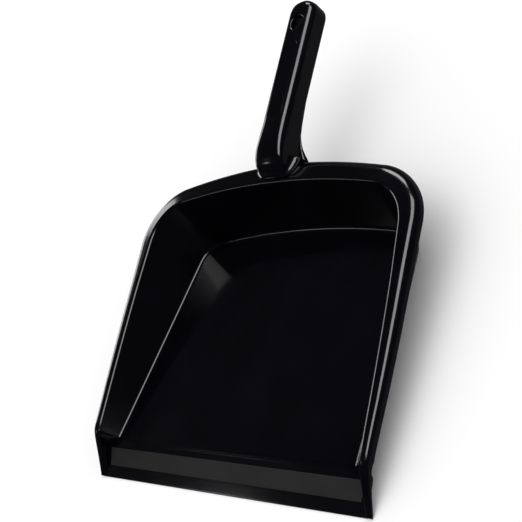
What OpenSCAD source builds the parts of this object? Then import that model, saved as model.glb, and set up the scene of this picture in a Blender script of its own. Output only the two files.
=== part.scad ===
// Dust pan: a shallow open-fronted tray with a rolled rim, a ramped lip and a raised handle.
// Millimetres. +X is to the user's right, +Y runs from the lip to the handle, +Z is up.
// The pieces are drawn with Y counted from the lip's front edge, then moved by one step at the end, so
// that the origin is the middle of the dust pan's footprint, on the ground.

/* [Tray] */
// Half the width of the tray's mouth at the tips of the lip
mouth_half = 150; // [120:1:180]
// Half the width of the floor just behind the lip
floor_front_half = 132.6; // [105:0.2:134]
// Half the width of the floor at its back corners
floor_back_half = 118.6; // [90:0.2:125]
// Distance from the lip's edge to the floor's back corners, if they were sharp
floor_corner_y = 221; // [180:1:225]
// How far the back edge of the floor bows backwards in the middle
floor_bow = 11; // [2:1:20]
// Radius of the floor's back corners
floor_corner_r = 22; // [10:1:35]
// Thickness of the moulded walls
wall_t = 2.5; // [2:0.1:3.5]

/* [Rim] */
// Half the distance between the rim's inner edges, carried forward to the mouth
rim_front_half = 146.6; // [140:0.2:150]
// Half the distance between the rim's inner edges at the back corners
rim_back_half = 138.4; // [130:0.2:145]
// Distance from the lip's edge to the rim's back corners, if they were sharp
rim_corner_y = 230; // [226:1:236]
// How far the back of the rim bows backwards in the middle
rim_bow = 15.3; // [5:0.1:20]
// Radius of the rim's inner edge at the back corners
rim_corner_r = 37; // [25:1:50]
// Sideways bulge of the rim half way along each side
rim_bulge = 2.4; // [0:0.1:4]
// Height of the rim's top edge, carried forward to the mouth
rim_front_z = 21.2; // [15:0.1:24]
// Rise of the rim for each millimetre towards the back
rim_slope = 0.15; // [0.1:0.01:0.2]
// Width of the turned-over flange near the mouth
flange_front_w = 6.5; // [4:0.5:9]
// Width of the turned-over flange at the middle of the back
flange_back_w = 21; // [14:0.5:22]
// Fall of the rim's flange from the wall to its outer edge at the back
flange_drop = 1.5; // [0:0.5:4]
// Depth of the rim's outer skirt near the mouth
skirt_front_h = 7; // [5:0.5:9]
// Depth of the rim's outer skirt at the back
skirt_back_h = 10.5; // [8:0.5:13]

/* [Lip] */
// Distance from the lip's front edge to its crest
crest_y = 32.6; // [28:0.2:36]
// Height of the crest above the ground
crest_z = 10.4; // [8:0.1:11]
// Thickness of the lip's front edge
edge_t = 0.9; // [0.8:0.1:1.2]
// Length of the flat land under the front edge
land_d = 8; // [5:0.5:10]
// Where the soft strip starts, from the front edge
strip_y0 = 9.5; // [8:0.5:10]
// Where the soft strip ends
strip_y1 = 24; // [20:0.5:25]
// Depth of the groove that the strip lies in
strip_t = 1.2; // [0.8:0.1:1.4]

/* [Handle] */
// Width of the grip
grip_w = 29.5; // [26:0.5:34]
// Depth of the grip, top to bottom
grip_h = 19; // [16:0.5:22]
// Slope of the grip, in degrees above level
grip_pitch = 7.4; // [5:0.1:9]
// Distance from the lip's edge to the end of the grip
grip_end_y = 406; // [380:1:430]
// Half the width of the handle's foot on the rim
foot_half = 24; // [20:1:30]
// Thickness of the handle's walls
grip_t = 3; // [2.4:0.1:3.6]
// Radius of the hanging hole
hang_r = 6.5; // [4:0.1:7]
// Distance from the hanging hole's centre to the end of the grip
hang_inset = 24; // [20:1:28]
// Depth of the shallow thumb recess in the grip's top
thumb_depth = 0.6; // [0.4:0.1:1.2]

/* [Hidden] */
$fn = 64;
clear = 0.1;                        // gap between pieces that lie against each other
body_color = [0.035, 0.035, 0.04];
strip_color = [0.12, 0.12, 0.12];

side_n = 12;                        // stations along one side of the tray
corner_n = 8;                       // stations round one back corner
back_n = 8;                         // stations across half of the back
cheek_front_z = 2.2;                // height of the side walls' tips at the mouth
cheek_slope = 0.78;                 // rise of the side walls' front edges
flare_d = 60;                       // length of the outward flare at the mouth
cheek_base = [                      // inner foot of the side walls beside the lip: [y, half width]
    [0, 143.5], [4, 144], [8, 144.3], [14, 145], [20, 145.8], [28, 146.2]];
floor_start_y = crest_y + 1.4;
kerb = 0.3;                         // upright step between the floor and the sloping walls
floor_back_y = floor_corner_y + floor_bow + wall_t;
floor_pitch = atan((crest_z - wall_t - 0.1) / (floor_back_y - crest_y));
rib_x = [-75, 0, 75];               // underside ribs
rib_t = 2;

// ---- outlines ----

function unit(v) = v / norm(v);

// Height of the floor's top at a distance y from the lip's edge
function floor_z(y) = crest_z - (y - crest_y) * tan(floor_pitch);

// Height of the lip's ramp
function ramp_z(y) = edge_t + (crest_z - 0.9 - edge_t) * y / (crest_y - 3.6);

// Height of the rim, falling along the side walls' front edges
function rim_z(y) = min(rim_front_z + rim_slope * y, cheek_front_z + cheek_slope * y);

// Half of a U outline, front to back: a straight side, a round corner and a bowed back
function half_u(front, front_y, back, corner_y, bow, r) =
    let (corner = [back, corner_y],
         side = unit(corner - [front, front_y]),
         across = unit([-1, 2 * bow / back]),
         turn = acos(-side * across),
         run = r / tan(turn / 2),
         p1 = corner - side * run,
         p2 = corner + across * run,
         centre = corner + unit(across - side) * r / sin(turn / 2),
         a1 = atan2(p1.y - centre.y, p1.x - centre.x),
         a2 = atan2(p2.y - centre.y, p2.x - centre.x),
         bowed = function (x) corner_y + bow * (1 - pow(x / back, 2)),
         miss = p2.y - bowed(p2.x))
    concat(
        [for (i = [0 : side_n - 1]) [front, front_y] + (p1 - [front, front_y]) * i / side_n],
        [for (i = [0 : corner_n]) let (a = a1 + (a2 - a1) * i / corner_n) centre + r * [cos(a), sin(a)]],
        [for (i = [1 : back_n]) let (x = p2.x * (1 - i / back_n)) [x, bowed(x) + miss * x / p2.x]]);

crease_half = half_u(floor_front_half, floor_start_y, floor_back_half, floor_corner_y, floor_bow,
    floor_corner_r);
rim_half = half_u(rim_front_half - 1.4, floor_start_y, rim_back_half, rim_corner_y, rim_bow, rim_corner_r);
rear_n = len(rim_half);
cheek_n = len(cheek_base);

// Half width over the rim's outer edge beside the lip, flaring out to the tips
function cheek_edge(y) = rim_half[0].x + (mouth_half - rim_half[0].x) * pow(1 - y / floor_start_y, 2) + bulge(y)
    + flange_front_w * (0.1 + 0.9 * y / floor_start_y);

// Width of the flange beside the lip
function cheek_flange(y) = 2.5 + (flange_front_w - 2) * sin(90 * min(1, y / 30));

// Lower edge of the side walls beside the lip, a little below the lip's underside
function cheek_low_z(y) = max(0, ramp_z(y) - 3.6);

function bulge(y) = rim_bulge * 4 * (y / rim_corner_y) * (1 - min(y, rim_corner_y) / rim_corner_y)
    + 3.5 * pow(max(0, 1 - y / flare_d), 2) * min(1, y / floor_start_y);

// Outward direction of the rim at a station
function outward(i) = i >= rear_n - 1 ? [0, 1]
    : let (d = unit(rim_half[i + 1] - rim_half[max(0, i - 1)])) [d.y, -d.x];

// One cross-section of wall and rim, as a loop of 9 points: foot, crease, bend, flange, skirt and back down.
// foot_p is the crease's plan point, top_p the rim's, out the outward direction, u the way round from 0 to 1,
// low_z the height of the wall's lower edge and foot_z the height of the crease.
function wall_loop(foot_p, low_z, foot_z, top_p, out, u, w, skirt) =
    let (top_z = rim_z(top_p.y),
         drop = flange_drop * min(1, u / 0.55) * min(1, w / 6),
         t = min(wall_t, skirt * 0.5, w * 0.4),
         p = function (v, z) [v.x, v.y, z],
         lip_o = top_p + out * w,
         foot_k = low_z > 0 ? 0.6 : 1.1)
    [p(foot_p, low_z),
     p(foot_p, foot_z + kerb),
     p(top_p, top_z),
     p(lip_o, top_z - drop),
     p(lip_o + out * 1, top_z - drop - skirt),
     p(lip_o + out * (1 - t), top_z - drop - skirt),
     p(lip_o - out * t, top_z - drop - t),
     p(top_p + out * t, top_z - t - drop * t / w),
     p(foot_p + out * wall_t * foot_k, low_z)];

cheek_loops = [for (i = [0 : cheek_n - 1])
    let (y = cheek_base[i][0],
         w = cheek_flange(y),
         k = 0.35 + 0.65 * y / floor_start_y)
    wall_loop([cheek_base[i][1], y], cheek_low_z(y), ramp_z(y), [cheek_edge(y) - w, y], [1, 0], 0, w,
        min(skirt_front_h * k, rim_z(y) * 0.75))];
rear_loops = [for (i = [0 : rear_n - 1])
    let (u = i / (rear_n - 1),
         rim_p = rim_half[i] + (i < side_n ? outward(i) * bulge(rim_half[i].y) : [0, 0]))
    wall_loop(crease_half[i], 0, floor_z(crease_half[i].y), rim_p, outward(i), u,
        flange_front_w + (flange_back_w - flange_front_w) * pow(u, 0.8),
        skirt_front_h + (skirt_back_h - skirt_front_h) * u)];
half_loops = concat(cheek_loops, rear_loops);
half_n = len(half_loops);
// Right-hand half from the mouth to the back, then the left-hand half from the back to the mouth
wall_loops = concat(half_loops,
    [for (i = [half_n - 2 : -1 : 0]) [for (p = half_loops[i]) [-p.x, p.y, p.z]]]);

// ---- pan body ----

// Wall, rim, flange and skirt, swept round three sides of the tray
module wall_and_rim() {
    n = len(wall_loops);
    k = len(wall_loops[0]);
    polyhedron(
        points = [for (l = wall_loops) for (p = l) p],
        faces = concat(
            [[for (j = [0 : k - 1]) j]],
            [for (i = [0 : n - 2]) for (j = [0 : k - 1])
                [i * k + j, (i + 1) * k + j, (i + 1) * k + (j + 1) % k, i * k + (j + 1) % k]],
            [[for (j = [k - 1 : -1 : 0]) (n - 1) * k + j]]),
        convexity = 8);
}

// Plan of the floor, reaching half way into the walls
module floor_plan() {
    right = concat([[crease_half[0].x + wall_t / 2, crest_y + clear]],
        [for (i = [0 : rear_n - 1]) crease_half[i] + outward(i) * wall_t / 2]);
    polygon(concat(right, [for (i = [len(right) - 2 : -1 : 0]) [-right[i].x, right[i].y]]));
}

module floor_plate() {
    translate([0, crest_y, crest_z])
        rotate([-floor_pitch, 0, 0])
            translate([0, -crest_y, -wall_t])
                linear_extrude(wall_t) floor_plan();
}

// Low ribs that carry the floor on the ground
module floor_ribs() {
    for (x = rib_x)
        translate([x + rib_t / 2, 0, 0])
            rotate([0, -90, 0])
                linear_extrude(rib_t)
                    polygon([[0, floor_start_y], [floor_z(floor_start_y) - wall_t / 2, floor_start_y],
                        [floor_z(210) - wall_t / 2, 210], [0, 210]]);
}

tang_w = grip_w - 2 * grip_t - 2 * clear;
tang_root = [0, rim_corner_y + rim_bow + flange_back_w - 2, 46.3];
tang_pitch = 16;
tang_l = 66;
tang_h = 8;

// Tongue behind the rim that the handle is pressed over
module handle_tang() {
    translate(tang_root)
        rotate([tang_pitch, 0, 0])
            translate([-tang_w / 2, 0, 0])
                cube([tang_w, tang_l, tang_h]);
}

// Gussets under the rim, in line with the tang
module rim_gussets() {
    back_top = rim_corner_y + rim_bow;
    top_z = rim_front_z + rim_slope * back_top;
    for (x = [-9, 9])
        translate([x + rib_t / 2, 0, 0])
            rotate([0, -90, 0])
                linear_extrude(rib_t)
                    polygon([[26, back_top - 7], [top_z - 1.2, back_top + 1],
                        [top_z - flange_drop - 1.2, back_top + flange_back_w - 1], [top_z - 13, back_top + flange_back_w - 1]]);
}

module pan_body() {
    color(body_color) {
        wall_and_rim();
        floor_plate();
        floor_ribs();
        handle_tang();
        rim_gussets();
    }
}

// ---- lip ----

// Plan of the lip, clear of the side walls
module lip_plan() {
    mirrored(concat([for (p = cheek_base) [p[1] - clear, p[0]]], [[floor_front_half + 3, crest_y]]));
}

// Extrudes an outline drawn in (Y, Z) along X, centred
module along_x(width) {
    translate([-width / 2, 0, 0])
        rotate([90, 0, 90])
            linear_extrude(width) children();
}

module lip_outline() {
    bead_d = 3.6;
    polygon([[0, 0], [land_d, 0], [crest_y - bead_d, ramp_z(crest_y - bead_d) - wall_t],
        [crest_y, ramp_z(crest_y - bead_d) - wall_t], [crest_y, crest_z], [crest_y - bead_d + 1, crest_z],
        [crest_y - bead_d, ramp_z(crest_y - bead_d)], [0.4, edge_t], [0, edge_t - 0.4]]);
}

module strip_outline(lift, spread) {
    polygon([[strip_y0 - spread, ramp_z(strip_y0) - strip_t - spread],
        [strip_y1 + spread, ramp_z(strip_y1) - strip_t - spread],
        [strip_y1 + spread, ramp_z(strip_y1) + lift], [strip_y0 - spread, ramp_z(strip_y0) + lift]]);
}

// Plan of the strip, a constant distance inside the side walls
module strip_plan(grow) {
    x0 = 140.2 + grow;
    x1 = 142.6 + grow;
    polygon([[-x0, strip_y0 - grow], [x0, strip_y0 - grow], [x1, strip_y1 + grow], [-x1, strip_y1 + grow]]);
}

module front_lip() {
    color(body_color)
        difference() {
            intersection() {
                along_x(2 * mouth_half) lip_outline();
                linear_extrude(crest_z + 1) lip_plan();
            }
            intersection() {
                along_x(2 * mouth_half) strip_outline(2, clear / 2);
                linear_extrude(crest_z + 1) strip_plan(clear / 2);
            }
        }
}

module lip_strip() {
    color(strip_color)
        intersection() {
            along_x(2 * mouth_half) strip_outline(0.15, 0);
            linear_extrude(crest_z + 1) strip_plan(0);
        }
}

// ---- handle ----

grip_half = grip_w / 2;
hang_y = grip_end_y - hang_inset;
axis_y = 317;                       // where the straight part of the grip begins
axis_z = 73.1;                      // height of the grip's middle there
function grip_mid(y) = axis_z + (y - axis_y) * tan(grip_pitch);
rim_back_y = rim_corner_y + rim_bow;
rim_back_z = rim_front_z + rim_slope * rim_back_y;
skirt_back_y = rim_back_y + flange_back_w + 1;
end_r = 6;                          // rounding of the grip's end, seen from the side
half_h = grip_h / 2 / cos(grip_pitch);

function dir(a) = [cos(a), sin(a)];

// Side view of the handle, with a foot that laps over the rim
module handle_side() {
    end_n = 6;
    end_c = [grip_end_y - end_r, grip_mid(grip_end_y - end_r)];
    end_rise = half_h - end_r / cos(grip_pitch);
    polygon(concat(
        [[rim_back_y + 4, rim_back_z - 0.3 + clear],
         [rim_back_y + 4.5, rim_back_z + 2.5],
         [rim_back_y + 6.7, rim_back_z + 6.8],
         [rim_back_y + 10.7, rim_back_z + 11.2],
         [rim_back_y + 16.2, rim_back_z + 15],
         [rim_back_y + 23.2, rim_back_z + 17.7],
         [rim_back_y + 32, grip_mid(rim_back_y + 32) + half_h]],
        [for (i = [0 : end_n]) end_c + [0, end_rise] + end_r * dir((90 + grip_pitch) * (1 - i / end_n))],
        [for (i = [0 : end_n]) end_c - [0, end_rise] + end_r * dir((grip_pitch - 90) * i / end_n)],
        [[axis_y, grip_mid(axis_y) - half_h], [290, 57.5], [278, 52.5],
         [skirt_back_y + clear + 0.3, 45], [skirt_back_y + clear, rim_back_z - flange_drop + clear]]));
}

// Mirrors a row of [half width, y] points into a closed outline
module mirrored(side) {
    polygon(concat(side, [for (i = [len(side) - 1 : -1 : 0]) [-side[i].x, side[i].y]]));
}

// Plan of the handle: a blunt toe, nearly parallel sides and a round end
module handle_plan() {
    toe = [[11, rim_back_y + 4], [14, rim_back_y + 6.5], [15.4, rim_back_y + 11]];
    waist = [[15.6, rim_back_y + 20], [15.1, rim_back_y + 32], [grip_half, rim_back_y + 45]];
    mirrored(concat(toe, waist, [[grip_half, grip_end_y - grip_half]]));
    translate([0, grip_end_y - grip_half]) circle(r = grip_half);
}

// Plan of the foot that spreads over the rim
module foot_plan() {
    mirrored([[12.5, rim_back_y + 4], [17.2, rim_back_y + 5.5], [20.4, rim_back_y + 8.5],
        [22.7, rim_back_y + 12.5], [foot_half, rim_back_y + 17.5], [foot_half - 0.7, rim_back_y + 22],
        [foot_half - 2.8, rim_back_y + 26], [18.4, rim_back_y + 31], [16.2, rim_back_y + 37],
        [grip_half, rim_back_y + 44]]);
}

// Side view of the foot, which hugs the rim's flange and skirt
module foot_side() {
    polygon([[rim_back_y + 4, rim_back_z - 0.3 + clear], [rim_back_y + 5, rim_back_z + 2],
        [rim_back_y + 18, rim_back_z + 1.4], [rim_back_y + 26, rim_back_z - 2], [rim_back_y + 44, rim_back_z + 2],
        [290, 57.5], [278, 52.5], [skirt_back_y + clear + 0.3, 45], [skirt_back_y + clear, rim_back_z - flange_drop + clear]]);
}

// Channel under the grip, from behind the rim's skirt to the end wall
module handle_channel() {
    inner_half = grip_half - grip_t;
    top = half_h - grip_t;
    intersection() {
        along_x(2 * foot_half)
            polygon([[skirt_back_y - 5, 40], [skirt_back_y - 5, 52], [skirt_back_y + 3, rim_back_z - 1],
                [axis_y, grip_mid(axis_y) + top], [grip_end_y - grip_t, grip_mid(grip_end_y - grip_t) + top - 1],
                [grip_end_y - grip_t, 50], [skirt_back_y + 40, 40]]);
        linear_extrude(200) {
            translate([-inner_half, skirt_back_y - 5])
                square([2 * inner_half, grip_end_y - grip_half - skirt_back_y + 5]);
            translate([0, grip_end_y - grip_half]) circle(r = inner_half);
        }
    }
}

// Places its children at the hanging hole, with Z along the hole and 0 at the grip's top face
module at_hang_hole() {
    translate([0, hang_y, grip_mid(hang_y) + half_h])
        rotate([grip_pitch, 0, 0]) children();
}

boss_h = 12;
boss_wall = 3;

module thumb_recess() {
    half = 8.3;
    length = 74;
    translate([0, 292, grip_mid(292) + half_h])
        rotate([grip_pitch, 0, 0])
            translate([0, 0, -thumb_depth])
                linear_extrude(5) {
                    translate([-half, half]) square([2 * half, length - 2 * half]);
                    translate([0, half]) circle(r = half);
                    translate([0, length - half]) circle(r = half);
                }
}

module handle() {
    color(body_color)
        difference() {
            union() {
                difference() {
                    union() {
                        intersection() {
                            along_x(2 * foot_half) handle_side();
                            linear_extrude(200) handle_plan();
                        }
                        intersection() {
                            along_x(2 * foot_half) foot_side();
                            linear_extrude(200) foot_plan();
                        }
                    }
                    handle_channel();
                }
                at_hang_hole() translate([0, 0, -boss_h]) cylinder(r = hang_r + boss_wall, h = boss_h - 1);
            }
            at_hang_hole() translate([0, 0, -boss_h - 5]) cylinder(r = hang_r, h = boss_h + 10);
            thumb_recess();
        }
}

// ---- the whole object ----

// Moves a piece from the lip's edge to the object's own origin
module at_origin() {
    translate([0, -grip_end_y / 2, 0]) children();
}

at_origin() pan_body();
at_origin() front_lip();
at_origin() lip_strip();
at_origin() handle();
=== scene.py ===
"""A glossy black dust pan: finished meshes, materials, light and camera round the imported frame."""
import math

import bmesh
import bpy
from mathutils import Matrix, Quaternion, Vector


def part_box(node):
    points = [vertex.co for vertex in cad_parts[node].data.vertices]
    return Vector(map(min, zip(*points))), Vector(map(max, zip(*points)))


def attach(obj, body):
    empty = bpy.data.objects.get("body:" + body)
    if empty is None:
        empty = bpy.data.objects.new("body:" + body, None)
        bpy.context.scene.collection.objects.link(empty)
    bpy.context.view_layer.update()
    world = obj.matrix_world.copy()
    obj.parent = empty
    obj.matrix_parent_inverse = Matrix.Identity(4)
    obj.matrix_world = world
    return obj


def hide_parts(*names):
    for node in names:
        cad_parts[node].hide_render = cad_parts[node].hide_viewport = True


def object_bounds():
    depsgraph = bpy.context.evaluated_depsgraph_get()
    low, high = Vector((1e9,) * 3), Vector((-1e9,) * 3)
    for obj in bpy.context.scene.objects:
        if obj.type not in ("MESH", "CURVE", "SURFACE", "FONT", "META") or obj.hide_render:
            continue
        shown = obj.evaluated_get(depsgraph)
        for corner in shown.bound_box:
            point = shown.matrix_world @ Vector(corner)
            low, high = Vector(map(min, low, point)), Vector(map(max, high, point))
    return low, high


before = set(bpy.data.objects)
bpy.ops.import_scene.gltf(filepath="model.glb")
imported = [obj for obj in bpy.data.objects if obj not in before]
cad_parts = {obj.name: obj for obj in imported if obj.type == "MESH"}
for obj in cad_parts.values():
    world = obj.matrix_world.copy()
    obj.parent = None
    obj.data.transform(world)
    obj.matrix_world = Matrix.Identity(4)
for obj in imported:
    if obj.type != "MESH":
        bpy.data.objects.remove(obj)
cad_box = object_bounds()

# ---- driving dimensions, in mm: X from the middle, Y from the lip's front edge, Z from the ground ----
MM = 0.001
LIP_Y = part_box("front_lip")[0].y

# Tray: half widths, the depth at which the back starts to turn, how far the back bows, and wall thickness
MOUTH_HALF = 150
FLOOR_FRONT_HALF = 132.6
FLOOR_BACK_HALF = 118.6
FLOOR_CORNER_Y = 221
FLOOR_BOW = 11
FLOOR_CORNER_R = 22
WALL_T = 2.5
FLOOR_EDGE_W = 9

# Rim: its inner edge, its height, and the flange and skirt that hang from it
RIM_FRONT_HALF = 145.2
RIM_BACK_HALF = 138.4
RIM_CORNER_Y = 230
RIM_BOW = 15.3
RIM_CORNER_R = 37
RIM_BULGE = 2.4
RIM_FRONT_Z = 21.2
RIM_SLOPE = 0.15
CHEEK_FRONT_Z = 2.2
CHEEK_SLOPE = 0.78
RIM_BLEND = 1.6
FLARE_D = 60
FLARE_W = 3.5
FLANGE_FRONT_W = 6.5
FLANGE_BACK_W = 21
FLANGE_DROP = 1.5
CORNER_SWELL = 1.4
SKIRT_FRONT_H = 7
SKIRT_BACK_H = 10.5
BEND_R = 9
INNER_BEND_R = (4, 2.2)

# Lip: its raised back edge (the crest), its thin front edge, and the band let into its ramp
CREST_Y = 32.6
CREST_Z = 10.4
BEAD_D = 3.6
EDGE_T = 0.9
LAND_D = 8
STRIP_Y0 = 9.5
STRIP_Y1 = 24
STRIP_T = 1.2
STRIP_PROUD = 0.15
STRIP_HALF_0 = 140.2
STRIP_HALF_1 = 142.6
GAP = 0.1
CHEEK_TUCK = 2.6

FLOOR_START_Y = CREST_Y + 1.4
FLOOR_BACK_Y = FLOOR_CORNER_Y + FLOOR_BOW + WALL_T
FLOOR_FALL = (CREST_Z - WALL_T - 0.1) / (FLOOR_BACK_Y - CREST_Y)
# Foot of the side wall beside the lip, as (half width, Y)
CHEEK_FOOT = [(143.5, 0), (144, 4), (144.3, 8), (145, 14), (145.8, 20), (146.2, 28)]

# Handle: its grip slopes up from an axis point; the hanging hole and the thumb recess are in its top
GRIP_HALF = 14.75
GRIP_H = 19
GRIP_PITCH = math.radians(7.4)
GRIP_END_Y = 406
GRIP_AXIS_Y = 317
GRIP_AXIS_Z = 73.1
GRIP_T = 3
GRIP_HALF_H = GRIP_H / 2 / math.cos(GRIP_PITCH)
HANG_R = 6.5
HANG_Y = GRIP_END_Y - 24
BOSS_H = 12
BOSS_R = HANG_R + 3
THUMB_Y0 = 292
THUMB_Y1 = 366
THUMB_HALF = 8.3
THUMB_DEPTH = 0.6
SHOULDER_R = 8.2
# Rise of the top's middle over its edges, at the nose and on the grip
CROWN = (1.8, 0.5)
NOSE_Y = 250
STRAIGHT_Y = 290

FOOT_LENGTH = 44
END_LOW_R = 6

RIM_BACK_Y = RIM_CORNER_Y + RIM_BOW
RIM_BACK_Z = RIM_FRONT_Z + RIM_SLOPE * RIM_BACK_Y
SKIRT_BACK_Y = RIM_BACK_Y + FLANGE_BACK_W + 1

# How far round the half outline the side and the corner reach, from 0 at the front to 1 at the back
SIDE_U = 12 / 28
CORNER_U = 20 / 28


# ---- small helpers ----

def lerp(a, b, t):
    return a + (b - a) * t


def smooth(a, b, x):
    t = min(1, max(0, (x - a) / (b - a)))
    return t * t * (3 - 2 * t)


def soft_min(a, b, k):
    return min(a, b) - k * math.log(1 + math.exp(-abs(a - b) / k))


def corner_arc(before, corner, after, radius, steps, share=0.45):
    """The points of a rounded corner: a support point, an arc and a support point.

    share is the part of each neighbouring side that the corner may use up.
    """
    to_a, to_b = before - corner, after - corner
    ua, ub = to_a.normalized(), to_b.normalized()
    room = share * min(to_a.length, to_b.length)
    half = ua.angle(ub, math.pi) / 2
    run = min(room, radius / max(math.tan(min(half, 1.55)), 0.02))
    rest_a = min(0.8, 0.5 * max(0.01, share * to_a.length - run))
    rest_b = min(0.8, 0.5 * max(0.01, share * to_b.length - run))
    start, end = corner + ua * run, corner + ub * run
    points = [corner + ua * (run + rest_a)]
    if half > 1.5 or half < 0.05 or run < 1e-5:
        points += [lerp(start, end, i / steps) for i in range(steps + 1)]
    else:
        centre = corner + (ua + ub).normalized() * (run * math.tan(half) / math.sin(half))
        d0, d1 = start - centre, end - centre
        swing = d0.angle(d1)
        for i in range(steps + 1):
            t = i / steps
            spoke = d0 * math.sin((1 - t) * swing) + d1 * math.sin(t * swing)
            points.append(centre + spoke / math.sin(swing))
    points.append(corner + ub * (run + rest_b))
    return points


def rounded(points, radii, steps=6, shares=None):
    """An open polyline with its inner corners rounded, each with a share of its sides."""
    out = [points[0]]
    for i in range(1, len(points) - 1):
        share = shares[i - 1] if shares else 0.45
        out += corner_arc(points[i - 1], points[i], points[i + 1], radii[i - 1], steps, share)
    return out + [points[-1]]


def rounded_loop(points, radii, steps=4):
    """A closed polyline with its corners rounded."""
    out = []
    n = len(points)
    for i in range(n):
        out += corner_arc(points[i - 1], points[i], points[(i + 1) % n], radii[i], steps)
    return out


def value_at(path, y):
    """The value at y on a polyline of (y, value) points."""
    for a, b in zip(path, path[1:]):
        if a[0] <= y <= b[0] and b[0] > a[0]:
            return lerp(a[1], b[1], (y - a[0]) / (b[0] - a[0]))
    return path[0][1] if y < path[0][0] else path[-1][1]


def spread(path, n):
    """n + 1 points at equal steps along a polyline."""
    lengths = [(b - a).length for a, b in zip(path, path[1:])]
    total, out, i, done = sum(lengths), [], 0, 0
    for k in range(n + 1):
        want = total * k / n
        while i < len(lengths) - 1 and done + lengths[i] < want:
            done += lengths[i]
            i += 1
        out.append(lerp(path[i], path[i + 1], min(1, (want - done) / max(lengths[i], 1e-9))))
    return out


def mesh_object(name, points, faces, sharp_angle=40):
    """A smooth-shaded mesh object from points in mm, moved into the row frame."""
    mesh = bpy.data.meshes.new(name)
    mesh.from_pydata([(p[0] * MM, p[1] * MM + LIP_Y, p[2] * MM) for p in points], [], faces)
    bm = bmesh.new()
    bm.from_mesh(mesh)
    bmesh.ops.remove_doubles(bm, verts=bm.verts, dist=2e-6)
    bmesh.ops.dissolve_degenerate(bm, edges=bm.edges, dist=1e-6)
    bmesh.ops.recalc_face_normals(bm, faces=bm.faces)
    bm.to_mesh(mesh)
    bm.free()
    mesh.polygons.foreach_set("use_smooth", [True] * len(mesh.polygons))
    mesh.set_sharp_from_angle(angle=math.radians(sharp_angle))
    obj = bpy.data.objects.new(name, mesh)
    bpy.context.scene.collection.objects.link(obj)
    return obj


def combine(obj, other, operation, sharp_angle=40):
    """Applies a boolean with another object and removes that object."""
    modifier = obj.modifiers.new("combine", "BOOLEAN")
    modifier.object = other
    modifier.operation = operation
    modifier.solver = "EXACT"
    graph = bpy.context.evaluated_depsgraph_get()
    mesh = bpy.data.meshes.new_from_object(obj.evaluated_get(graph))
    obj.modifiers.clear()
    obj.data = mesh
    bpy.data.objects.remove(other)
    mesh.polygons.foreach_set("use_smooth", [True] * len(mesh.polygons))
    mesh.set_sharp_from_angle(angle=math.radians(sharp_angle))


def finish_piece(obj, node, material):
    obj.data.materials.clear()
    obj.data.materials.append(material)
    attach(obj, "root")
    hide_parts(node)


def sweep(sections, caps=True):
    """Points and faces of a closed section swept through a row of stations."""
    k = len(sections[0])
    points = [p for s in sections for p in s]
    faces = []
    for i in range(len(sections) - 1):
        for j in range(k):
            a, b = i * k + j, i * k + (j + 1) % k
            faces.append((a, b, b + k, a + k))
    if caps:
        faces.append(tuple(range(k)))
        faces.append(tuple(range(len(points) - 1, len(points) - 1 - k, -1)))
    return points, faces


# ---- tray ----

def half_u(front, back, corner_y, bow, radius, side_n=56, corner_n=28, back_n=36):
    """Half of the tray's U outline with the way round, u, of each point: straight side, arc, bowed back."""
    start = Vector((front, FLOOR_START_Y))
    corner = Vector((back, corner_y))
    side = (corner - start).normalized()
    across = Vector((-1, 2 * bow / back)).normalized()
    turn = (-side).angle(across)
    run = radius / math.tan(turn / 2)
    p1, p2 = corner - side * run, corner + across * run
    centre = corner + (across - side).normalized() * radius / math.sin(turn / 2)
    a1 = math.atan2(p1.y - centre.y, p1.x - centre.x)
    a2 = math.atan2(p2.y - centre.y, p2.x - centre.x)
    miss = p2.y - (corner_y + bow * (1 - (p2.x / back) ** 2))
    front_p = start - side * (FLOOR_START_Y - CREST_Y - GAP) / side.y
    out = [(lerp(front_p, p1, i / side_n), SIDE_U * i / side_n) for i in range(side_n)]
    for i in range(corner_n + 1):
        a = lerp(a1, a2, i / corner_n)
        point = centre + radius * Vector((math.cos(a), math.sin(a)))
        out.append((point, lerp(SIDE_U, CORNER_U, i / corner_n)))
    for i in range(1, back_n + 1):
        x = p2.x * (1 - i / back_n)
        y = corner_y + bow * (1 - (x / back) ** 2) + miss * x / p2.x
        out.append((Vector((x, y)), lerp(CORNER_U, 1, i / back_n)))
    return out


def outward(path, i):
    """The outward direction, in plan, at a point of a half_u outline."""
    if i == len(path) - 1:
        return Vector((0, 1))
    d = (path[i + 1][0] - path[max(0, i - 1)][0]).normalized()
    return Vector((d.y, -d.x))


def bulge(y):
    """How far the rim's sides stand out from straight: a long bow and a flare near the mouth."""
    long = RIM_BULGE * 4 * (y / RIM_CORNER_Y) * (1 - min(y, RIM_CORNER_Y) / RIM_CORNER_Y)
    return long + FLARE_W * max(0, 1 - y / FLARE_D) ** 2 * min(1, y / FLOOR_START_Y)


def floor_z(y):
    return CREST_Z - (y - CREST_Y) * FLOOR_FALL


def ramp_z(y):
    return EDGE_T + (CREST_Z - EDGE_T - EDGE_T) * y / (CREST_Y - BEAD_D)


def rim_z(y):
    return soft_min(RIM_FRONT_Z + RIM_SLOPE * y, CHEEK_FRONT_Z + CHEEK_SLOPE * y, RIM_BLEND)


def cheek_edge(y):
    """Half width over the rim's outer edge beside the lip."""
    flare = (MOUTH_HALF - RIM_FRONT_HALF) * (1 - min(y, FLOOR_START_Y) / FLOOR_START_Y) ** 2
    return RIM_FRONT_HALF + flare + bulge(y) + FLANGE_FRONT_W * (0.1 + 0.9 * y / FLOOR_START_Y)


def cheek_flange(y):
    """Width of the flange beside the lip, which meets the rim's own at the floor's front edge."""
    w = 2.5 + (FLANGE_FRONT_W - 2) * math.sin(math.pi / 2 * min(1, y / 30))
    return lerp(w, FLANGE_FRONT_W, smooth(24, CREST_Y, y))


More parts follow.
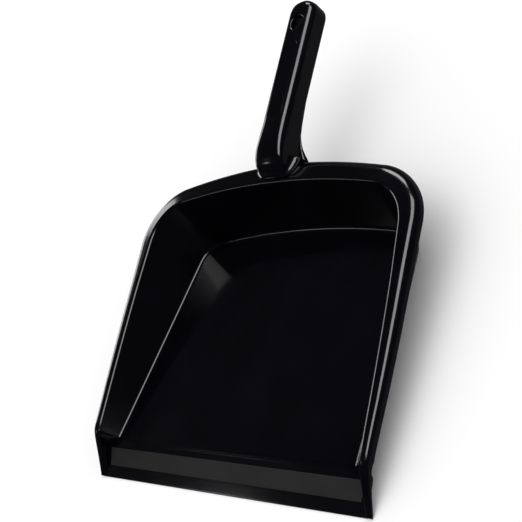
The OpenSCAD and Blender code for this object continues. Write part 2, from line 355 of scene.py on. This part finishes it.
def wall_section(foot, foot_z, inner, under, top, out, u, w, skirt, low=0):
    """One section of floor edge, wall, flange and skirt, from the floor's top round to its underside."""
    def at(plan, z):
        return Vector((plan.x, plan.y, z))

    top_z = rim_z(top.y)
    drop = FLANGE_DROP * min(1, u / 0.55) * min(1, w / 6)
    t = min(WALL_T, skirt * 0.5, w * 0.4)
    edge = top + out * w
    bend = min(BEND_R, 0.62 * w)
    inner_bend = lerp(*INNER_BEND_R, smooth(SIDE_U, CORNER_U, u))
    wall_foot = foot + out * WALL_T * lerp(1.1, 0.35, min(1, low))
    points = [
        inner[0],
        at(foot, foot_z),
        at(top, top_z),
        at(edge, top_z - drop),
        at(edge + out, top_z - drop - skirt),
        at(edge + out * (1 - t), top_z - drop - skirt),
        at(edge - out * t, top_z - drop - t),
        at(top + out * t, top_z - t - drop * t / w),
        at(wall_foot, low),
        at(lerp(wall_foot, foot, 0.65), low),
        under,
        inner[1],
    ]
    radii = [4, inner_bend, bend, 0.7, 0.7, max(0.4, bend - t), 0.8, 0.5, 0.5, 0.8]
    shares = [0.45, 0.4, 0.6 if w < 9 else 0.78, 0.2, 0.4, 0.55, 0.4, 0.4, 0.4, 0.4]
    return rounded(points, radii, 8, shares)


def cheek_sections():
    """Sections of the side wall beside the lip, from the tip to the floor's front edge."""
    foot_points = [Vector(p) for p in CHEEK_FOOT]
    behind = Vector((FLOOR_FRONT_HALF + 0.1, CREST_Y + GAP))
    path = foot_points + [behind, behind + Vector((-0.4, 5))]
    radii = [3] * 4 + [4] + [2.5]
    line = [p for p in rounded(path, radii) if p.y < CREST_Y + 0.05]
    ys = [0, 0.4, 1, 2, 3, 4.5] + list(range(6, 20, 2)) + [20, 21.5] + list(range(23, 28))
    ys += [27 + 0.6 * i for i in range(1, 9)] + [32.3, 32.8, 33.1, 33.3]
    sections = []
    for y in ys:
        x = value_at([(p.y, p.x) for p in line], y)
        foot = Vector((x, y))
        base = Vector((x, y, 0))
        k = 0.35 + 0.65 * y / FLOOR_START_Y
        skirt = min(SKIRT_FRONT_H * k, rim_z(y) * 0.75)
        w = cheek_flange(y)
        low = max(0, ramp_z(y) - CHEEK_TUCK) * (1 - smooth(CREST_Y - 1, FLOOR_START_Y - 0.7, y))
        base.z = low
        under = Vector((x + 0.3, y, low))
        top = Vector((cheek_edge(y) - w, y))
        inner = (base, base)
        sections.append(wall_section(foot, ramp_z(y), inner, under, top, Vector((1, 0)), 0, w, skirt, low))
    return sections


def rear_sections():
    """Sections of the walls round the floor, from its front edge to the middle of the back."""
    crease = half_u(FLOOR_FRONT_HALF, FLOOR_BACK_HALF, FLOOR_CORNER_Y, FLOOR_BOW, FLOOR_CORNER_R)
    rim = half_u(RIM_FRONT_HALF, RIM_BACK_HALF, RIM_CORNER_Y, RIM_BOW, RIM_CORNER_R)
    sections = []
    for i, ((foot, u), (top, _)) in enumerate(zip(crease, rim)):
        out = outward(rim, i)
        inward = outward(crease, i).lerp(Vector((1, 0)), 1 - smooth(0, 0.1, u)).normalized()
        fade = 1 - smooth(SIDE_U * 0.7, SIDE_U * 1.2, u)
        top = top + out * bulge(top.y) * fade
        inset = foot - inward * FLOOR_EDGE_W
        z = floor_z(inset.y)
        inner = (Vector((inset.x, inset.y, z)), Vector((inset.x, inset.y, z - WALL_T)))
        swell = CORNER_SWELL * smooth(0.3, 0.45, u) * (1 - smooth(0.48, 0.62, u))
        w = lerp(FLANGE_FRONT_W, FLANGE_BACK_W, u ** 0.8) + swell
        skirt = lerp(SKIRT_FRONT_H, SKIRT_BACK_H, u)
        under = Vector((foot.x, foot.y, floor_z(foot.y) - WALL_T))
        sections.append(wall_section(foot, floor_z(foot.y), inner, under, top, out, u, w, skirt))
    return sections


def block(corners, radius=0.6):
    """A solid with rounded long edges, from its closed outline at one end and at the other."""
    ends = [rounded_loop([Vector(p) for p in end], [radius] * len(end)) for end in corners]
    return sweep(ends)


def make_ribs():
    """Three low ribs that carry the floor on the ground."""
    made = []
    for i, x in enumerate((-75, 0, 75)):
        ends = []
        for y in (FLOOR_START_Y, 210):
            top = floor_z(y) - WALL_T / 2
            ends.append([(x - 1, y, 0), (x + 1, y, 0), (x + 1, y, top), (x - 1, y, top)])
        points, faces = block(ends, 0.4)
        made.append(mesh_object(f"rib_{i}", points, faces))
    return made


def make_tang():
    """The tongue behind the rim that the handle is pressed over."""
    half = GRIP_HALF - GRIP_T - GAP
    pitch, length, height = math.radians(16), 66, 8
    root_y, root_z = RIM_BACK_Y + FLANGE_BACK_W - 2, 46.3
    ends = []
    for d in (0, length):
        y, z = root_y + d * math.cos(pitch), root_z + d * math.sin(pitch)
        up = Vector((0, -math.sin(pitch), math.cos(pitch))) * height
        low = Vector((half, y, z))
        ends.append([low, low + up, Vector((-half, y, z)) + up, Vector((-half, y, z))])
    points, faces = block(ends, 0.9)
    return mesh_object("tang", points, faces)


def make_gussets():
    """Two webs under the rim, in line with the tang."""
    made = []
    for i, x in enumerate((-9, 9)):
        near, far = RIM_BACK_Y - 7, RIM_BACK_Y + FLANGE_BACK_W - 1
        outline = [(near, 26), (RIM_BACK_Y + 1, RIM_BACK_Z - 1.2),
                   (far, RIM_BACK_Z - FLANGE_DROP - 1.2), (far, RIM_BACK_Z - 13)]
        ends = [[(x + side, y, z) for y, z in outline] for side in (-1, 1)]
        points, faces = block(ends, 0.8)
        made.append(mesh_object(f"gusset_{i}", points, faces))
    return made


def make_tray(material):
    cheek, rear = cheek_sections(), rear_sections()
    half = cheek + rear
    stations = half + [[Vector((-p.x, p.y, p.z)) for p in s] for s in half[-2::-1]]
    k = len(half[0])
    points = [p for s in stations for p in s]
    faces = []
    for i in range(len(stations) - 1):
        for j in range(k - 1):
            a = i * k + j
            faces.append((a, a + 1, a + 1 + k, a + k))

    # Close the floor's top, underside and front edge, and the two ends at the mouth
    first, last = len(cheek), len(stations) - 1 - len(cheek)
    for a, b in ((first - 1, first), (last, last + 1)):
        faces.append((a * k + k - 1, a * k, b * k, b * k + k - 1))
    floor_rows = range(first, last + 1)
    faces.append(tuple(i * k for i in floor_rows))
    faces.append(tuple(i * k + k - 1 for i in reversed(floor_rows)))
    faces.append((first * k, last * k, last * k + k - 1, first * k + k - 1))
    faces.append(tuple(range(k - 1)))
    end = (len(stations) - 1) * k
    faces.append(tuple(end + j for j in range(k - 2, -1, -1)))
    tray = mesh_object("tray", points, faces, 50)
    for extra in make_ribs() + [make_tang()] + make_gussets():
        combine(tray, extra, "UNION", 50)
    finish_piece(tray, "pan_body", material)


# ---- lip and strip ----

def bar(profile, half_width, columns):
    """A profile in (y, z) drawn out along X, as wide at each point as half_width says."""
    sections = []
    for c in range(columns + 1):
        t = -1 + 2 * c / columns
        sections.append([Vector((half_width(p.x) * t, p.x, p.y)) for p in profile])
    return sweep(sections)


def lip_half(y):
    """Half width of the lip, which lies against the feet of the side walls."""
    path = [(p[1], p[0]) for p in CHEEK_FOOT] + [(CREST_Y, FLOOR_FRONT_HALF + 3)]
    return value_at(path, y) - GAP


def strip_half(y):
    """Half width of the band on the ramp."""
    return lerp(STRIP_HALF_0, STRIP_HALF_1, (y - STRIP_Y0) / (STRIP_Y1 - STRIP_Y0))


def make_lip(material):
    bead_y = CREST_Y - BEAD_D
    under = ramp_z(bead_y) - WALL_T
    outline = [(0, 0), (LAND_D, 0), (bead_y, under), (CREST_Y, under), (CREST_Y, CREST_Z),
               (bead_y + 1, CREST_Z), (bead_y, ramp_z(bead_y)), (0.4, EDGE_T), (0, EDGE_T - 0.4)]
    radii = [0.25, 3, 0.6, 0.4, 0.5, 0.45, 0.5, 0.35, 0.25]
    profile = rounded_loop([Vector(p) for p in outline], radii)
    points, faces = bar(profile, lip_half, 2)
    lip = mesh_object("lip", points, faces, 50)
    groove = [(STRIP_Y0, ramp_z(STRIP_Y0) - STRIP_T), (STRIP_Y1, ramp_z(STRIP_Y1) - STRIP_T),
              (STRIP_Y1, ramp_z(STRIP_Y1) + 2), (STRIP_Y0, ramp_z(STRIP_Y0) + 2)]
    points, faces = bar(rounded_loop([Vector(p) for p in groove], [0.15] * 4),
                        lambda y: strip_half(y) + GAP / 2, 1)
    combine(lip, mesh_object("groove", points, faces), "DIFFERENCE", 50)
    finish_piece(lip, "front_lip", material)


def make_strip(material):
    y0, y1 = STRIP_Y0 + GAP / 2, STRIP_Y1 - GAP / 2
    outline = [(y0, ramp_z(y0) - STRIP_T), (y1, ramp_z(y1) - STRIP_T),
               (y1, ramp_z(y1) + STRIP_PROUD), (y0, ramp_z(y0) + STRIP_PROUD)]
    profile = rounded_loop([Vector(p) for p in outline], [0.15, 0.15, 0.3, 0.3])
    points, faces = bar(profile, strip_half, 2)
    finish_piece(mesh_object("grip_strip", points, faces, 50), "lip_strip", material)


# ---- handle ----

def grip_mid(y):
    """Height of the grip's middle line."""
    return GRIP_AXIS_Z + (y - GRIP_AXIS_Y) * math.tan(GRIP_PITCH)


def handle_top():
    """Side view of the handle's top, from the toe to the end."""
    end = GRIP_END_Y
    high = grip_mid(end) + GRIP_HALF_H
    nose = [(4, -0.7), (4.5, 2.5), (6.7, 6.8), (10.7, 11.2), (16.2, 15), (23.2, 17.7)]
    points = [Vector((RIM_BACK_Y + y, RIM_BACK_Z + z)) for y, z in nose]
    straight = RIM_BACK_Y + 32
    points.append(Vector((straight, grip_mid(straight) + GRIP_HALF_H)))
    points += [Vector((end, high)), Vector((end, high - 20))]
    return rounded(points, [4, 9, 14, 18, 24, 60, 8.5], 8)


def handle_bottom():
    """Side view of the handle's underside, lapping over the flange and then down its skirt."""
    end = GRIP_END_Y
    points = [(RIM_BACK_Y + 3.9, RIM_BACK_Z - 0.3), (SKIRT_BACK_Y + 0.1, RIM_BACK_Z - FLANGE_DROP),
              (SKIRT_BACK_Y + 0.4, 45), (278, 52.5), (STRAIGHT_Y, 57.5),
              (GRIP_AXIS_Y, grip_mid(GRIP_AXIS_Y) - GRIP_HALF_H),
              (end - 0.01, grip_mid(end) - GRIP_HALF_H), (end, grip_mid(end) - 5)]
    return rounded([Vector(p) for p in points], [0.5, 0.8, 8, 20, 30, 5], 6)


def plan_curve(side, radii):
    """Half widths against Y, rounded, from (distance behind the rim, half width)."""
    points = [Vector((RIM_BACK_Y + y, half)) for y, half in side]
    points.append(Vector((GRIP_END_Y, GRIP_HALF)))
    return [(p.x, p.y) for p in rounded(points, radii, 8)]


def handle_plan():
    """The handle's own half width, without its round end."""
    side = [(4, 11), (6.5, 14), (11, 15.4), (20, 15.6), (32, 15.1), (45, GRIP_HALF)]
    return plan_curve(side, [5, 10, 40, 90, 90])


def foot_plan():
    """Half width of the foot that spreads over the rim."""
    side = [(4, 12.5), (5.5, 17.2), (8.5, 20.4), (12.5, 22.7), (17.5, 24),
            (22, 23.3), (26, 21.2), (31, 18.4), (37, 16.2), (FOOT_LENGTH, GRIP_HALF)]
    return plan_curve(side, [6, 8, 10, 12, 12, 14, 20, 30, 40])


def handle_half(plan, y):
    """The handle's half width at y, with its round end."""
    half = value_at(plan, y)
    centre = GRIP_END_Y - GRIP_HALF
    if y > centre:
        half = min(half, math.sqrt(max(0, GRIP_HALF ** 2 - (y - centre) ** 2)))
    return half


def thumb_dip(x, y):
    """Depth of the shallow thumb recess at a point of the grip's top."""
    yy = min(max(y, THUMB_Y0 + THUMB_HALF), THUMB_Y1 - THUMB_HALF)
    inside = THUMB_HALF - math.hypot(x, y - yy)
    return THUMB_DEPTH * smooth(-0.6, 2, inside)


def handle_section(y, top, bottom, half, foot_half):
    """A closed section of the handle, from the middle of its top round both sides."""
    height = max(0.02, top - bottom)
    shoulder = min(lerp(5, SHOULDER_R, smooth(NOSE_Y + 2, STRAIGHT_Y, y)), half * 0.98, height * 0.62)
    foot = max(0, min(foot_half, half + height) - half) * smooth(0.3, 4, height)
    edge = min(0.7, height * 0.2, half * 0.5)
    flat = half - shoulder
    crown = lerp(*CROWN, smooth(NOSE_Y, NOSE_Y + 30, y))
    fall = crown * (flat / max(half, 0.01)) ** 2
    side = []
    for i in range(17):
        x = flat * i / 16
        side.append((x, top - crown * (x / max(half, 0.01)) ** 2))
    for i in range(1, 17):
        a = math.pi / 2 * i / 16
        z = top - fall - (shoulder - fall) * (1 - math.cos(a))
        side.append((flat + shoulder * math.sin(a), z))
    if y > THUMB_Y0 - 2:
        side = [(x, z - thumb_dip(x, y)) for x, z in side]
    z0, z1 = top - shoulder, bottom + edge
    rise = min(foot * 1.1, max(0, (z0 - z1) * 0.85))
    for i in range(1, 5):
        side.append((half, lerp(z0, z1 + rise, i / 4)))
    for i in range(1, 9):
        a = math.pi / 2 * i / 8
        side.append((half + foot * (1 - math.cos(a)), z1 + rise * (1 - math.sin(a))))
    for i in range(1, 5):
        a = math.pi / 2 * i / 4
        side.append((half + foot - edge * (1 - math.cos(a)), z1 - edge * math.sin(a)))
    side.append(((half + foot - edge) * 0.5, bottom))
    left = [(-x, z) for x, z in reversed(side[1:])]
    return [Vector((x, y, z)) for x, z in side + [(0, bottom)] + left]


def make_channel():
    """The hollow under the grip, with the hanging hole's boss left standing in it."""
    inner = GRIP_HALF - GRIP_T
    roof = GRIP_HALF_H - GRIP_T
    start, end = SKIRT_BACK_Y - 5, GRIP_END_Y - GRIP_T
    outline = [(start, 40), (start, 52), (SKIRT_BACK_Y + 3, RIM_BACK_Z - 1),
               (GRIP_AXIS_Y, grip_mid(GRIP_AXIS_Y) + roof), (end, grip_mid(end) + roof - 1)]
    high = rounded([Vector(p) for p in outline], [0.5, 6, 12], 5)
    sections = []
    centre = GRIP_END_Y - GRIP_HALF
    ys = [start + 0.01] + [lerp(start, centre, i / 40) for i in range(1, 41)]
    ys += [centre + inner * math.sin(math.pi / 2 * i / 20) for i in range(1, 21)]
    for y in ys:
        half = inner if y <= centre else math.sqrt(max(0.0004, inner ** 2 - (y - centre) ** 2))
        top, r = value_at([(p.x, p.y) for p in high], y), min(2, half * 0.9)
        arc = [(half - r + r * math.cos(a), top - r + r * math.sin(a))
               for a in [math.pi / 2 * i / 5 for i in range(6)]]
        right = [(half, 38)] + arc
        left = [(-x, z) for x, z in reversed(right)]
        sections.append([Vector((x, y, z)) for x, z in right + left])
    channel = mesh_object("channel", *sweep(sections))
    combine(channel, hang_lathe("boss", [(BOSS_R, -30), (BOSS_R, 2)]), "DIFFERENCE")
    return channel


def hang_lathe(name, profile, steps=64):
    """A solid turned round the hanging hole's axis, from (radius, distance above the grip's top)."""
    centre = Vector((0, HANG_Y, grip_mid(HANG_Y) + GRIP_HALF_H))
    along = Vector((0, math.cos(GRIP_PITCH), math.sin(GRIP_PITCH)))
    up = Vector((0, -math.sin(GRIP_PITCH), math.cos(GRIP_PITCH)))
    sections = []
    for radius, d in profile:
        ring = []
        for i in range(steps):
            a = 2 * math.pi * i / steps
            across = Vector((radius * math.cos(a), 0, 0))
            ring.append(centre + across + along * radius * math.sin(a) + up * d)
        sections.append(ring)
    return mesh_object(name, *sweep(sections))


def hole_profile():
    """The hanging hole, opening out in a small round at its top."""
    r = 1.2
    curve = [(HANG_R + r * (1 - math.cos(a)), -0.5 - r * (1 - math.sin(a)))
             for a in [math.pi / 2 * i / 8 for i in range(9)]]
    return [(HANG_R, -25)] + curve + [(HANG_R + r, 3)]


def make_handle(material):
    top_line = spread(handle_top(), 420)
    bottom_line = [(p.x, p.y) for p in handle_bottom()]
    plan, foot = handle_plan(), foot_plan()
    stations = [(p.x, p.y) for p in top_line if p.x < GRIP_END_Y - 0.02]
    stations.append((GRIP_END_Y - 0.01, stations[-1][1]))
    sections, last_y = [], -1
    for y, z in stations:
        if y - last_y < 0.02:
            continue
        last_y = y
        low = value_at(bottom_line, y)
        past = max(0, y - (GRIP_END_Y - END_LOW_R))
        low += max(0, END_LOW_R - math.sqrt(max(0, END_LOW_R ** 2 - past ** 2)))
        half = handle_half(plan, y)
        foot_half = max(half, value_at(foot, y)) if y < RIM_BACK_Y + FOOT_LENGTH else half
        sections.append(handle_section(y, z, min(low, z - 0.02), half, foot_half))
    handle = mesh_object("handle_grip", *sweep(sections), 38)
    combine(handle, make_channel(), "DIFFERENCE", 38)
    below = hang_lathe("below", [(BOSS_R + 0.3, -30), (BOSS_R + 0.3, -BOSS_H)])
    combine(handle, below, "DIFFERENCE", 38)
    combine(handle, hang_lathe("hole", hole_profile()), "DIFFERENCE", 38)
    finish_piece(handle, "handle", material)


# ---- materials ----

def moulded(name, colour, roughness, grain, wave, specular=0.5):
    """Moulded plastic or rubber: fine mould grain, slow waves, rubbed patches and hairline scratches."""
    material = bpy.data.materials.new(name)
    material.use_nodes = True
    nodes, links = material.node_tree.nodes, material.node_tree.links
    shader = nodes["Principled BSDF"]
    shader.inputs["Specular IOR Level"].default_value = specular
    coords = nodes.new("ShaderNodeTexCoord")

    def noise(scale, detail, stretch=None):
        node = nodes.new("ShaderNodeTexNoise")
        node.inputs["Scale"].default_value = scale
        node.inputs["Detail"].default_value = detail
        if stretch:
            mapping = nodes.new("ShaderNodeMapping")
            mapping.inputs["Scale"].default_value = stretch
            mapping.inputs["Rotation"].default_value = (0, 0, 0.5)
            links.new(coords.outputs["Object"], mapping.inputs["Vector"])
            links.new(mapping.outputs["Vector"], node.inputs["Vector"])
        else:
            links.new(coords.outputs["Object"], node.inputs["Vector"])
        return node.outputs["Fac"]

    def ranged(value, low, high, to_low, to_high):
        node = nodes.new("ShaderNodeMapRange")
        for socket, number in zip(node.inputs[1:5], (low, high, to_low, to_high)):
            socket.default_value = number
        links.new(value, node.inputs[0])
        return node.outputs[0]

    tint = nodes.new("ShaderNodeMix")
    tint.data_type = "RGBA"
    tint.inputs["A"].default_value = (*colour, 1)
    tint.inputs["B"].default_value = (*[c * 1.6 + 0.0006 for c in colour], 1)
    links.new(ranged(noise(28, 4), 0.35, 0.75, 0, 1), tint.inputs["Factor"])
    links.new(tint.outputs["Result"], shader.inputs["Base Color"])

    rubbed = ranged(noise(18, 3), 0.4, 0.7, roughness, roughness * 1.35)
    hairline = ranged(noise(60, 2, (1, 40, 12)), 0.66, 0.72, 0, roughness * 0.5)
    total = nodes.new("ShaderNodeMath")
    links.new(rubbed, total.inputs[0])
    links.new(hairline, total.inputs[1])
    links.new(total.outputs[0], shader.inputs["Roughness"])

    slow = nodes.new("ShaderNodeBump")
    slow.inputs["Strength"].default_value = 1
    slow.inputs["Distance"].default_value = wave
    links.new(noise(11, 1), slow.inputs["Height"])
    fine = nodes.new("ShaderNodeBump")
    fine.inputs["Strength"].default_value = 1
    fine.inputs["Distance"].default_value = grain
    links.new(noise(2600, 3), fine.inputs["Height"])
    links.new(slow.outputs["Normal"], fine.inputs["Normal"])
    links.new(fine.outputs["Normal"], shader.inputs["Normal"])
    return material


def floor_material():
    material = bpy.data.materials.new("pale_floor")
    material.use_nodes = True
    shader = material.node_tree.nodes["Principled BSDF"]
    shader.inputs["Base Color"].default_value = (0.86, 0.86, 0.86, 1)
    shader.inputs["Roughness"].default_value = 0.9
    shader.inputs["Specular IOR Level"].default_value = 0
    return material


# ---- stage, lights and camera ----

# In metres, in the row frame
CENTRE = Vector((0, 0, 0.05))
LIGHT_DISTANCE = 1.5
FLOOR_HALF = 6
FLOOR_GAP = 0.0002
CAMERA_AT = (0.65734, -0.34299, 0.60287)
CAMERA_AIM = (0.00936, -0.02539, 0.04848)
CAMERA_ROLL = -54.04
CAMERA_LENS = 79.31


def make_floor():
    bm = bmesh.new()
    bmesh.ops.create_grid(bm, x_segments=8, y_segments=8, size=FLOOR_HALF)
    mesh = bpy.data.meshes.new("floor")
    bm.to_mesh(mesh)
    bm.free()
    floor = bpy.data.objects.new("floor", mesh)
    floor.data.materials.append(floor_material())
    floor.location.z = cad_box[0].z - FLOOR_GAP
    floor.visible_glossy = False
    bpy.context.scene.collection.objects.link(floor)


def strip_light(name, angle, width, length, middle_y, radiance):
    """A long softbox parallel to the tray's sides, seen in gloss only.

    angle is in degrees from overhead towards +X.
    """
    a = math.radians(angle)
    lamp = bpy.data.lights.new(name, "AREA")
    lamp.shape = "RECTANGLE"
    lamp.size, lamp.size_y = width, length
    lamp.energy = radiance * math.pi * width * length
    obj = bpy.data.objects.new(name, lamp)
    obj.location = (LIGHT_DISTANCE * math.sin(a), middle_y, CENTRE.z + LIGHT_DISTANCE * math.cos(a))
    obj.rotation_euler = (0, a, 0)
    obj.visible_camera = False
    obj.visible_diffuse = False
    bpy.context.scene.collection.objects.link(obj)


def box_light(name, direction, distance, size, radiance, glossy=True, diffuse=False):
    """A softbox that faces the dust pan from a direction."""
    lamp = bpy.data.lights.new(name, "AREA")
    lamp.shape = "RECTANGLE"
    lamp.size, lamp.size_y = size
    lamp.energy = radiance * math.pi * size[0] * size[1]
    obj = bpy.data.objects.new(name, lamp)
    back = Vector(direction).normalized()
    obj.location = CENTRE + back * distance
    obj.rotation_mode = "QUATERNION"
    obj.rotation_quaternion = (-back).to_track_quat("-Z", "Y")
    obj.visible_camera = False
    obj.visible_glossy = glossy
    obj.visible_diffuse = diffuse
    bpy.context.scene.collection.objects.link(obj)


def make_world():
    """A dark room for reflections, a little lighter below, and an even white one for the floor."""
    world = bpy.data.worlds.new("studio")
    world.use_nodes = True
    nodes, links = world.node_tree.nodes, world.node_tree.links
    dark = nodes["Background"]
    coords = nodes.new("ShaderNodeTexCoord")
    split = nodes.new("ShaderNodeSeparateXYZ")
    below = nodes.new("ShaderNodeMapRange")
    for socket, number in zip(below.inputs[1:5], (0.02, -0.2, 0, 1)):
        socket.default_value = number
    tone = nodes.new("ShaderNodeMix")
    tone.data_type = "RGBA"
    tone.inputs["A"].default_value = (0.03, 0.03, 0.034, 1)
    tone.inputs["B"].default_value = (0.12, 0.12, 0.12, 1)
    links.new(coords.outputs["Generated"], split.inputs[0])
    links.new(split.outputs["Z"], below.inputs[0])
    links.new(below.outputs[0], tone.inputs["Factor"])
    links.new(tone.outputs["Result"], dark.inputs["Color"])
    pale = nodes.new("ShaderNodeBackground")
    pale.inputs["Color"].default_value = (1, 1, 1, 1)
    pale.inputs["Strength"].default_value = 0.9
    path = nodes.new("ShaderNodeLightPath")
    mix = nodes.new("ShaderNodeMixShader")
    links.new(path.outputs["Is Diffuse Ray"], mix.inputs["Fac"])
    links.new(dark.outputs[0], mix.inputs[1])
    links.new(pale.outputs[0], mix.inputs[2])
    links.new(mix.outputs[0], nodes["World Output"].inputs["Surface"])
    bpy.context.scene.world = world


def make_lights():
    """An even fill for the floor, and softboxes that draw the highlights on the rim and the handle."""
    make_world()
    box_light("fill", (0.1, 0.1, 1), 3, (4, 4), 0.9, glossy=False, diffuse=True)
    strip_light("over", 20, 0.72, 1.9, 0.55, 6)
    strip_light("left", -80, 0.7, 0.8, 0.3, 3.5)
    box_light("behind", (-0.2, 0.79, 0.55), LIGHT_DISTANCE, (0.8, 0.4), 7)
    box_light("front_left", (-0.712, -0.43, 0.56), 1.6, (0.16, 0.2), 3.5)


def make_camera():
    """The viewpoint: above and in front of the right side, with the camera rolled."""
    camera = bpy.data.cameras.new("camera")
    camera.lens = CAMERA_LENS
    camera.sensor_width = 36
    obj = bpy.data.objects.new("camera", camera)
    obj.location = CAMERA_AT
    turn = (Vector(CAMERA_AIM) - obj.location).to_track_quat("-Z", "Y")
    obj.rotation_mode = "QUATERNION"
    obj.rotation_quaternion = turn @ Quaternion((0, 0, 1), math.radians(CAMERA_ROLL))
    bpy.context.scene.collection.objects.link(obj)
    bpy.context.scene.camera = obj


# ---- build ----

BLACK = (0.0011, 0.0009, 0.0022)
BAND_GREY = (0.007, 0.007, 0.0073)

make_camera()
make_floor()
make_lights()
bpy.context.scene.view_settings.view_transform = "Standard"
make_tray(moulded("pan_plastic", BLACK, 0.11, 0.000002, 0.00012))
make_lip(moulded("lip_plastic", BLACK, 0.11, 0.000002, 0.00006))
make_strip(moulded("strip_rubber", BAND_GREY, 0.5, 0.000006, 0.00004, 0.4))
make_handle(moulded("grip_plastic", BLACK, 0.12, 0.000002, 0.00008))
